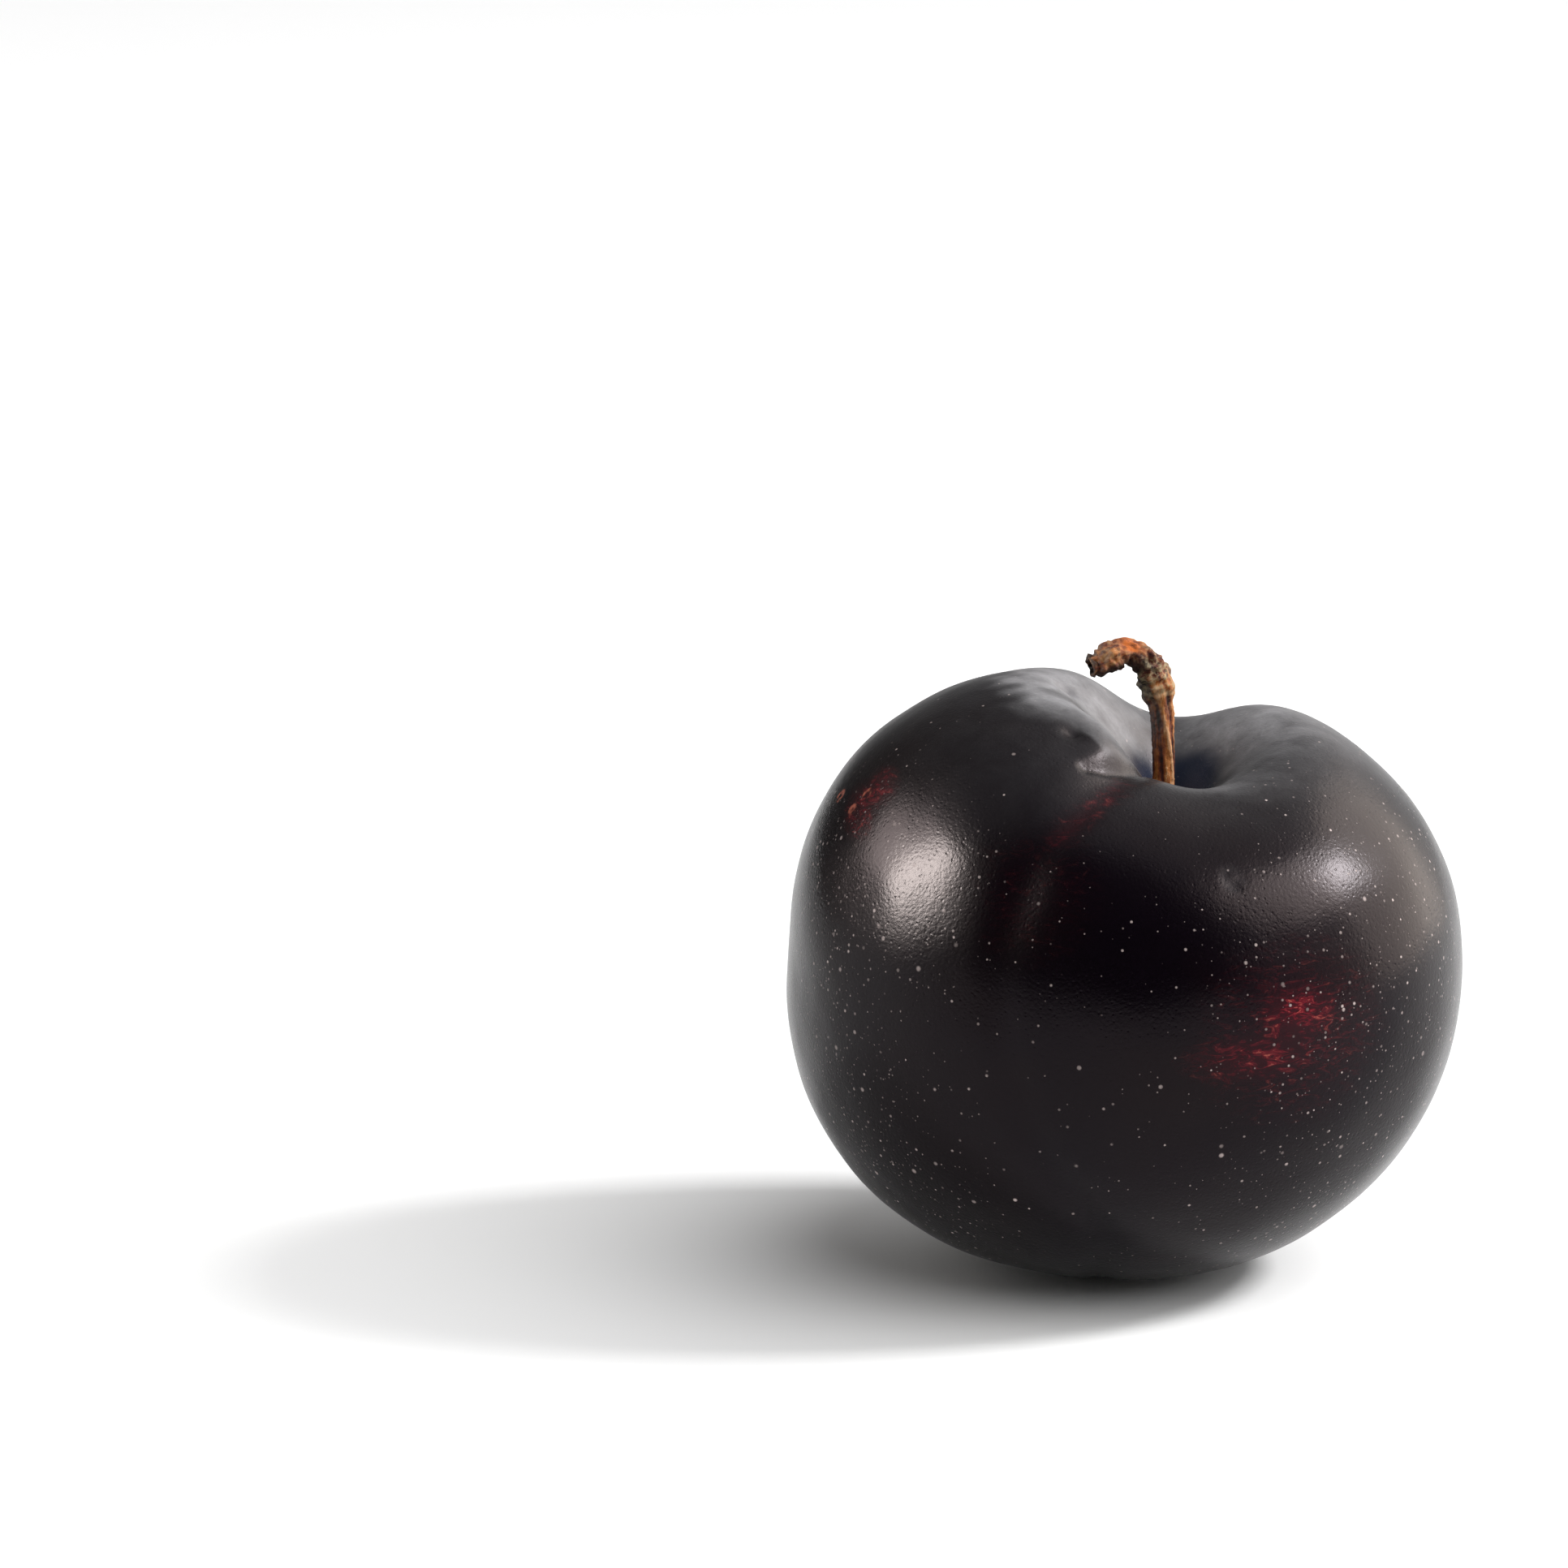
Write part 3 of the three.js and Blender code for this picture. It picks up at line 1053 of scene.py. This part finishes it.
@dataclass(frozen=True)
class DryBark:
    """Bark of a dried fruit stem: brittle, ridged lengthwise and dull. Sizes are in millimetres.

    It gives the eye dark red-brown furrows between ochre and tan ridges, a grey scurf on the knuckle and a
    raw orange tear on top of the hook. Painted light makes one side paler, and painted shade darkens the
    hook's underside, the foot and the inside of the torn cup.
    """

    # Darkest tone: furrows, pits and the painted shade
    furrow_and_shade: str = "#170704"
    shade: str = "#451a10"
    bark: str = "#763a15"
    ridge: str = "#9c602a"
    # Palest tone: rubbed ridges and the painted light on the lit side
    worn_and_lit: str = "#b98a63"
    scurf: str = "#918464"
    tear: str = "#ae560c"
    levels: tuple[float, ...] = (0.5, 0.62, 0.74, 0.87, 1.0)
    fibre_spacing: float = 0.42
    fibre_stretch: float = 0.14
    fibre_depth: float = 0.16
    blotch_size: float = 0.5
    blotch_share: float = 0.45
    blotch_depth: float = 0.1
    pit_spacing: float = 0.62
    pit_edge: tuple[float, float] = (0.3, 0.18)
    roughness: float = 0.7
    gloss: float = 0.25

    def build(self) -> bpy.types.Material:
        """Makes the bark's material.

        Returns:
            The material.
        """
        material, tree, output = new_material("dry stem bark")
        grain = add_node(tree, "ShaderNodeAttribute", attribute_name="grain").outputs["Vector"]
        long = add_node(tree, "ShaderNodeMapping", {"Vector": grain, "Scale": (1.0, 1.0, self.fibre_stretch)})
        fibres = add_node(tree, "ShaderNodeTexNoise", {
            "Vector": long.outputs[0],
            "Scale": 1 / (self.fibre_spacing * MM),
            "Detail": 6.0,
            "Roughness": 0.62,
        }).outputs["Fac"]
        blotch = add_node(tree, "ShaderNodeTexNoise", {
            "Vector": grain,
            "Scale": 1 / (self.blotch_size * MM),
            "Detail": 5.0,
            "Roughness": 0.7,
        }).outputs["Fac"]
        pits = add_node(tree, "ShaderNodeTexVoronoi", {"Vector": grain, "Scale": 1 / (self.pit_spacing * MM)})
        outside, inside = self.pit_edge
        pitted = add_node(tree, "ShaderNodeMapRange", {
            "Value": pits.outputs["Distance"],
            "From Min": outside,
            "From Max": inside,
        }, interpolation_type="SMOOTHSTEP").outputs[0]
        colour = self._lit_and_worn(tree, fibres, blotch)
        for name, tone, pattern, low, high in (
            ("scurf", self.scurf, blotch, 0.45, 0.6),
            ("tear", self.tear, blotch, 0.36, 0.54),
            ("pits", self.furrow_and_shade, pitted, 0.0, 1.0),
            # Painted shade under the hook, at the foot and inside the torn cup
            ("furrow_and_shade", self.furrow_and_shade, blotch, 0.1, 0.5),
        ):
            mask = add_node(tree, "ShaderNodeAttribute", attribute_name=name).outputs["Fac"]
            spread = add_node(tree, "ShaderNodeMapRange", {
                "Value": pattern,
                "From Min": low,
                "From Max": high,
            })
            share = add_node(tree, "ShaderNodeMath", {0: mask, 1: spread.outputs[0]}, operation="MULTIPLY")
            colour = add_node(tree, "ShaderNodeMix", {
                "Factor": share.outputs[0],
                6: colour,
                7: srgb(tone),
            }, data_type="RGBA").outputs[2]
        below = {}
        for height, depth in ((fibres, self.fibre_depth), (blotch, self.blotch_depth)):
            bump = add_node(tree, "ShaderNodeBump", {
                "Height": height,
                "Strength": 1.0,
                "Distance": depth * MM,
                **below,
            })
            below = {"Normal": bump.outputs[0]}
        shader = add_node(tree, "ShaderNodeBsdfPrincipled", {
            "Base Color": colour,
            "Roughness": self.roughness,
            "Specular IOR Level": self.gloss,
            **below,
        })
        tree.links.new(shader.outputs["BSDF"], output.inputs["Surface"])
        return material

    def _lit_and_worn(self, tree: Tree, fibres: Socket, blotch: Socket) -> Socket:
        """Makes the bark's colour, from its furrows to its rubbed pale ridges, with painted light on one
        side.

        Args:
            tree: The material's node tree.
            fibres: The pattern of the fibres.
            blotch: The pattern of the blotches.

        Returns:
            The bark's colour.
        """
        lit_side_and_wear = add_node(tree, "ShaderNodeAttribute", attribute_name="lit_side_and_wear").outputs["Fac"]
        streaked = add_node(tree, "ShaderNodeMath", {0: lit_side_and_wear, 1: fibres}, operation="ADD")
        patchy = add_node(tree, "ShaderNodeMath", {
            0: blotch,
            1: self.blotch_share,
            2: streaked.outputs[0],
        }, operation="MULTIPLY_ADD")
        ramp = add_node(tree, "ShaderNodeValToRGB", {"Fac": patchy.outputs[0]})
        stops = ramp.color_ramp.elements
        stops.remove(stops[1])
        stops[0].position = self.levels[0]
        stops[0].color = srgb(self.furrow_and_shade)
        for level, tone in zip(self.levels[1:], (self.shade, self.bark, self.ridge, self.worn_and_lit)):
            stops.new(level).color = srgb(tone)
        return ramp.outputs["Color"]


@dataclass
class Stem:
    """Broken, hooked woody stem, from its foot in the cavity's floor to its torn tip. Millimetres."""

    stations: tuple[Station, ...] = (
        Station((2.9, 0, 38.9), 1.45),
        Station((3.0, 0, 40.8), 1.3),
        Station((3.14, 0, 43.6), 1.04),
        Station((3.05, 0, 47.2), 0.98),
        Station((2.85, 0, 49.6), 1.06),
        Station((2.5, 0, 51.2), 1.48),
        Station((2.15, -0.1, 52.5), 1.6),
        Station((1.3, -0.4, 53.9), 1.4),
        Station((-0.2, -0.9, 54.65), 1.24),
        Station((-1.6, -1.4, 54.3), 1.56),
        Station((-2.55, -1.75, 53.8), 1.32),
        Station((-3.5, -2.05, 53.5), 0.98),
    )
    steps_between: int = 8
    sides: int = 28
    # Torn cup: the width of each ring of its wall and how far it drops
    cup: tuple[tuple[float, float], ...] = ((0.2, 0.15), (0.25, 0.5), (0.3, 0.0))
    # Relief: where knuckle, hook and tear lie along the stem, and how high or deep each is
    inset: float = 0.06
    ridge_height: float = 0.09
    ridge_twist: float = 0.12
    fine_height: float = 0.03
    rough_height: float = 0.12
    knuckle_at: float = 13.4
    knuckle_reach: float = 1.9
    wrinkle_height: float = 0.07
    wrinkle_pace: float = 6.5
    hook_from: tuple[float, float] = (13.0, 15.5)
    hook_inset: float = 0.17
    tear_at: float = 17.0
    tear_reach: float = 0.6
    tear_faces: tuple[float, float, float] = (0.0, -0.64, 0.77)
    tear_depth: float = 0.2
    # How strongly scurf and pits show on knuckle and hook, and how dark the painted shade gets under the
    # hook, at the foot and in the cup
    scurf_shares: tuple[float, float] = (0.9, 0.34)
    pit_shares: tuple[float, float] = (0.5, 0.6)
    shade_shares: tuple[float, float, float] = (0.86, 0.6, 0.8)
    finish: DryBark = field(default_factory=DryBark)

    def build(self) -> Piece:
        """Models the stem as a straight rod, carves its bark and bends it to its line.

        Returns:
            The finished stem.
        """
        line, radii = self._line()
        run = np.concatenate([[0], np.cumsum(np.linalg.norm(np.diff(line, axis=0), axis=1))])
        stem = self._rod(run, radii)
        self._carve(stem, run, line)
        bpy.ops.object.shade_smooth()
        stem = settle(stem, "stem_wood")
        stem.data.materials.append(self.finish.build())
        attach(stem, "root")
        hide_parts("stem")
        log.info("stem has %d faces", len(stem.data.polygons))
        return stem

    def _rod(self, run: np.ndarray, radii: np.ndarray) -> Piece:
        """Models a straight rod of the stem's widths with a cup in its torn end.

        Args:
            run: How far along the stem each ring lies.
            radii: The stem's radius at each ring.

        Returns:
            The rod, upright from the origin.
        """
        begin("stem")
        bpy.ops.mesh.primitive_circle_add(vertices=self.sides, radius=radii[0] * MM, fill_type="NGON")
        stem = bpy.context.active_object
        bpy.ops.object.mode_set(mode="EDIT")
        bpy.ops.mesh.select_all(action="SELECT")
        for i in range(1, len(run)):
            rise = (run[i] - run[i - 1]) * MM
            bpy.ops.mesh.extrude_region_move(TRANSFORM_OT_translate={"value": (0, 0, rise)})
            grow = radii[i] / radii[i - 1]
            bpy.ops.transform.resize(value=(grow, grow, 1), center_override=(0, 0, run[i] * MM))
        for wall, drop in self.cup:
            bpy.ops.mesh.inset(thickness=wall * MM)
            bpy.ops.transform.translate(value=(0, 0, -drop * MM))
        bpy.ops.mesh.select_all(action="SELECT")
        bpy.ops.mesh.normals_make_consistent(inside=False)
        bpy.ops.object.mode_set(mode="OBJECT")
        rounding = stem.modifiers.new("rounding", "SUBSURF")
        rounding.levels = rounding.render_levels = 1
        bpy.ops.object.modifier_apply(modifier=rounding.name)
        return stem

    def _line(self) -> tuple[np.ndarray, np.ndarray]:
        """Draws the stem's smooth middle line.

        Returns:
            The line's places, one row each, and the radius at each.
        """
        places = np.array([s.at for s in self.stations], dtype=float)
        radii = np.array([s.radius for s in self.stations])
        ends = np.vstack([2 * places[0] - places[1], places, 2 * places[-1] - places[-2]])
        gaps = np.sqrt(np.linalg.norm(np.diff(ends, axis=0), axis=1))
        line, widths = [places[0]], [radii[0]]
        for i in range(len(places) - 1):
            before, start, end, after = ends[i:i + 4]
            g0, g1, g2 = gaps[i:i + 3]
            leave = g1 * ((start - before) / g0 - (end - before) / (g0 + g1) + (end - start) / g1)
            arrive = g1 * ((end - start) / g1 - (after - start) / (g1 + g2) + (after - end) / g2)
            for t in np.arange(1, self.steps_between + 1) / self.steps_between:
                line.append(
                    (2 * t ** 3 - 3 * t ** 2 + 1) * start
                    + (t ** 3 - 2 * t ** 2 + t) * leave
                    + (3 * t ** 2 - 2 * t ** 3) * end
                    + (t ** 3 - t ** 2) * arrive
                )
                widths.append(mix(radii[i], radii[i + 1], smooth(t, 0, 1)))
        return np.array(line), np.array(widths)

    def _bend(self, rod: np.ndarray, run: np.ndarray, line: np.ndarray) -> np.ndarray:
        """Bends places of the upright rod to the stem's line.

        Args:
            rod: Places on the rod, one row each.
            run: How far along the stem each place of the line lies.
            line: The line's places.

        Returns:
            The places on the bent stem.
        """
        heading = np.gradient(line, run, axis=0)
        heading /= np.linalg.norm(heading, axis=1)[:, None]
        across = [np.array([1.0, 0.0, 0.0])]
        for ahead in heading:
            turned = across[-1] - ahead * (across[-1] @ ahead)
            across.append(turned / np.linalg.norm(turned))
        across = np.array(across[1:])
        along = np.clip(rod[:, 2], 0, run[-1])

        def at(values: np.ndarray) -> np.ndarray:
            """Reads a row of values at every place's own run."""
            return np.stack([np.interp(along, run, column) for column in values.T], axis=1)

        ahead, right = at(heading), at(across)
        ahead /= np.linalg.norm(ahead, axis=1)[:, None]
        right -= ahead * (ahead * right).sum(axis=1)[:, None]
        right /= np.linalg.norm(right, axis=1)[:, None]
        front = np.cross(ahead, right)
        spare = (rod[:, 2] - along)[:, None]
        return at(line) + rod[:, :1] * right + rod[:, 1:2] * front + spare * ahead

    def _carve(self, stem: Piece, run: np.ndarray, line: np.ndarray) -> None:
        """Bends the rod, carves ridges, wrinkles and the tear, and stores what the bark's finish reads.

        Args:
            stem: The straight rod.
            run: How far along the stem each place of the line lies.
            line: The line's places.
        """
        rod = read_points(stem)
        along = rod[:, 2]
        radius = np.hypot(rod[:, 0], rod[:, 1])
        around = np.arctan2(rod[:, 1], rod[:, 0])
        bent = self._bend(rod, run, line)
        write_points(stem, bent)
        normals = read_normals(stem)
        twisted = around + self.ridge_twist * along
        ridges = waves(np.stack([np.cos(twisted), np.sin(twisted), 0.1 * along], axis=1), 0.9, 18, seed=5)
        rough = waves(rod, 1.0, 30, seed=8)
        fine = waves(rod, 0.45, 30, seed=12)
        wrinkles = np.sin(along * self.wrinkle_pace + np.cos(around))
        knuckle = bell(along - self.knuckle_at, self.knuckle_reach)
        hook = smooth(along, *self.hook_from)
        tear = bell(along - self.tear_at, self.tear_reach)
        tear *= smooth(normals @ np.array(self.tear_faces), 0.64, 0.9)
        push = self.ridge_height * ridges + self.fine_height * fine - self.inset
        push += knuckle * (self.rough_height * rough + self.wrinkle_height * wrinkles)
        push += hook * (self.rough_height * rough - self.hook_inset) - self.tear_depth * tear
        push *= smooth(radius, 0.2, 0.6)
        write_points(stem, bent + normals * push[:, None])
        # Painted light: one side is paler where light falls on it, and the ridges are rubbed paler
        lit = 0.17 * np.cos(around + 0.5) + 0.16 * ridges - 0.1
        # Painted shade: darker under the hook, at the foot in the cavity and inside the torn cup
        under = smooth(-normals[:, 2], 0.0, 0.6) * smooth(along, 12, 15)
        foot = 1 - smooth(along, 1.5, 6.0)
        cup = smooth(along, run[-1] - 0.9, run[-1] - 0.3) * (1 - smooth(radius, 0.45, 0.8))
        paint(stem, "grain", np.stack([np.cos(around), np.sin(around), along], axis=1) * MM)
        paint(stem, "lit_side_and_wear", lit * (1 - 0.5 * hook) - 0.03 * hook)
        paint(stem, "scurf", np.clip(np.dot(self.scurf_shares, (knuckle, hook)), 0, 1))
        paint(stem, "tear", np.clip(1.4 * tear, 0, 1))
        paint(stem, "pits", np.clip(np.dot(self.pit_shares, (knuckle, hook)), 0, 0.9) * (1 - tear))
        paint(stem, "furrow_and_shade", np.clip(np.dot(self.shade_shares, (under, foot, cup)), 0, 0.9))


@dataclass(frozen=True)
class SoftBox:
    """A soft box and where it hangs, seen from the fruit.

    Azimuth is in degrees from the camera's side to the right, elevation in degrees above the horizon, roll
    in degrees about the box's own axis, and sizes and distance are in metres. Brightness is its radiance.
    """

    name: str
    azimuth: float
    elevation: float
    size: tuple[float, float]
    brightness: float
    lights_floor: bool = False
    distance: float = 0.9
    roll: float = 0.0
    tone: str = "#ffffff"


@dataclass(frozen=True)
class DarkPlace:
    """A part of the room that stays dark: its direction and reach in degrees, and how dark it gets."""

    azimuth: float
    elevation: float
    inner: float
    outer: float
    darkness: float


@dataclass
class Studio:
    """Floor, camera and soft light round the fruit."""

    frame_pixels: int = 1932
    fruit_pixel: tuple[float, float] = (1388.0, 1190.0)
    fruit_middle: tuple[float, float, float] = (0.15, 0.0, 26.7)
    pixels_per_mm: float = 14.25
    distance: float = 620.0
    elevation: float = 13.0
    floor_half: float = 4.0
    floor_roughness: float = 0.9
    floor_gloss: float = 0.1
    floor_tone: str = "#f1f1f1"
    floor_shade: str = "#4c4a4e"
    shade_from: float = 0.135
    shade_to: float = 0.42
    sky_strength: float = 1.05
    overhead_strength: float = 2.0
    overhead_spread: float = 70.0
    overhead_tilt: tuple[float, float, float] = (22, 26, 0)
    soft_boxes: tuple[SoftBox, ...] = (
        SoftBox("left soft box", -77, 25, (0.17, 0.42), 104, roll=-14, tone="#fffbf0"),
        SoftBox("left glow", -97, 27, (0.4, 0.46), 12, tone="#fff0ea"),
        SoftBox("right soft box", 93, 38, (0.18, 0.18), 80, lights_floor=True),
        SoftBox("right halo", 69, 41, (0.44, 0.4), 7.6, tone="#fff4ea"),
        SoftBox("right glow", 108, 24, (0.95, 0.95), 4.4, tone="#fff0e2"),
    )
    dark_places: tuple[DarkPlace, ...] = (
        DarkPlace(-12, 25, 42, 64, 0.97),
        DarkPlace(-130, 20, 20, 48, 0.85),
        DarkPlace(-140, 70, 10, 36, 0.8),
        DarkPlace(-155, 30, 26, 46, 0.85),
    )

    def build(self) -> None:
        """Makes the floor, the camera, the sky and the lights."""
        self._floor()
        self._camera()
        self._sky()
        self._overhead()
        for box in self.soft_boxes:
            self._soft_box(box)
        view = bpy.context.scene.view_settings
        view.view_transform = "Standard"
        view.look = "None"

    def _floor(self) -> None:
        """Lays the pale floor that the fruit stands on. Towards the front its colour darkens: painted shade.
        """
        begin("floor")
        bpy.ops.mesh.primitive_plane_add(size=2 * self.floor_half)
        floor = settle(bpy.context.active_object, "floor")
        # Uncoated paper without shine, so that the cast shadow shows on it; towards the front a painted shade
        # darkens it
        material, tree, output = new_material("matt white paper")
        place = add_node(tree, "ShaderNodeTexCoord").outputs["Object"]
        sides = add_node(tree, "ShaderNodeSeparateXYZ", {"Vector": place})
        # Painted shade: the paper darkens towards the front
        forward = add_node(tree, "ShaderNodeMapRange", {
            "Value": sides.outputs["Y"],
            "From Min": -self.shade_from,
            "From Max": -self.shade_to,
        }, interpolation_type="SMOOTHSTEP")
        paper = add_node(tree, "ShaderNodeMix", {
            "Factor": forward.outputs[0],
            6: srgb(self.floor_tone),
            7: srgb(self.floor_shade),
        }, data_type="RGBA")
        shader = add_node(tree, "ShaderNodeBsdfPrincipled", {
            "Base Color": paper.outputs[2],
            "Roughness": self.floor_roughness,
            "Specular IOR Level": self.floor_gloss,
        })
        tree.links.new(shader.outputs["BSDF"], output.inputs["Surface"])
        floor.data.materials.append(material)

    def _camera(self) -> None:
        """Places the camera so that the fruit's middle falls on its pixel of the frame."""
        tilt = math.radians(self.elevation)
        up = Vector((0, math.sin(tilt), math.cos(tilt)))
        ahead = Vector((0, math.cos(tilt), -math.sin(tilt)))
        half = self.frame_pixels / 2
        aside = (half - self.fruit_pixel[0]) / self.pixels_per_mm
        above = (self.fruit_pixel[1] - half) / self.pixels_per_mm
        aim = Vector(self.fruit_middle) + Vector((aside, 0, 0)) + up * above
        data = bpy.data.cameras.new("camera")
        data.sensor_fit = "HORIZONTAL"
        data.angle = 2 * math.atan(half / self.pixels_per_mm / self.distance)
        data.clip_start = 0.01
        camera = bpy.data.objects.new("camera", data)
        camera.location = (aim - ahead * self.distance) * MM
        camera.rotation_euler = (math.pi / 2 - tilt, 0, 0)
        bpy.context.collection.objects.link(camera)
        bpy.context.scene.camera = camera

    def _sky(self) -> None:
        """Makes the room's light: pale all round, but dark on the camera's side and behind on the left."""
        world = bpy.data.worlds.new("room")
        bpy.context.scene.world = world
        world.use_nodes = True
        tree = world.node_tree
        tree.nodes.clear()
        outwards = add_node(tree, "ShaderNodeTexCoord").outputs["Generated"]
        strength: Any = self.sky_strength
        for dark in self.dark_places:
            away = add_node(tree, "ShaderNodeVectorMath", {
                0: outwards,
                1: unit_towards(dark.azimuth, dark.elevation),
            }, operation="DISTANCE")
            left = add_node(tree, "ShaderNodeMapRange", {
                "Value": away.outputs["Value"],
                "From Min": 2 * math.sin(math.radians(dark.inner / 2)),
                "From Max": 2 * math.sin(math.radians(dark.outer / 2)),
                "To Min": 1 - dark.darkness,
                "To Max": 1.0,
            }, interpolation_type="SMOOTHSTEP")
            dimmed = add_node(tree, "ShaderNodeMath", {0: strength, 1: left.outputs[0]}, operation="MULTIPLY")
            strength = dimmed.outputs[0]
        glow = add_node(tree, "ShaderNodeBackground", {
            "Color": srgb("#ffffff"),
            "Strength": strength,
        })
        output = add_node(tree, "ShaderNodeOutputWorld")
        tree.links.new(glow.outputs[0], output.inputs["Surface"])

    def _overhead(self) -> None:
        """Hangs a broad overhead light for the floor, which is left out of the skin's gloss."""
        data = bpy.data.lights.new("overhead light", "SUN")
        data.angle = math.radians(self.overhead_spread)
        data.energy = self.overhead_strength
        lamp = bpy.data.objects.new("overhead light", data)
        lamp.rotation_euler = [math.radians(angle) for angle in self.overhead_tilt]
        lamp.visible_glossy = False
        bpy.context.collection.objects.link(lamp)

    def _soft_box(self, box: SoftBox) -> None:
        """Hangs a soft box that faces the fruit.

        Args:
            box: Its place, size, colour and power.
        """
        away = unit_towards(box.azimuth, box.elevation)
        data = bpy.data.lights.new(box.name, "AREA")
        data.shape = "RECTANGLE"
        data.size, data.size_y = box.size
        data.energy = box.brightness * math.pi * box.size[0] * box.size[1]
        data.color = srgb(box.tone)[:3]
        lamp = bpy.data.objects.new(box.name, data)
        lamp.location = away * box.distance + Vector(self.fruit_middle) * MM
        spin = Quaternion(away, math.radians(box.roll))
        lamp.rotation_euler = (spin @ away.to_track_quat("Z", "Y")).to_euler()
        lamp.visible_diffuse = box.lights_floor
        bpy.context.collection.objects.link(lamp)


def main() -> None:
    """Builds the studio, the fruit and the stem."""
    logging.basicConfig(level=logging.INFO, format="%(name)s: %(message)s")
    Studio().build()
    Fruit().build()
    Stem().build()


if __name__ == "__main__":
    main()
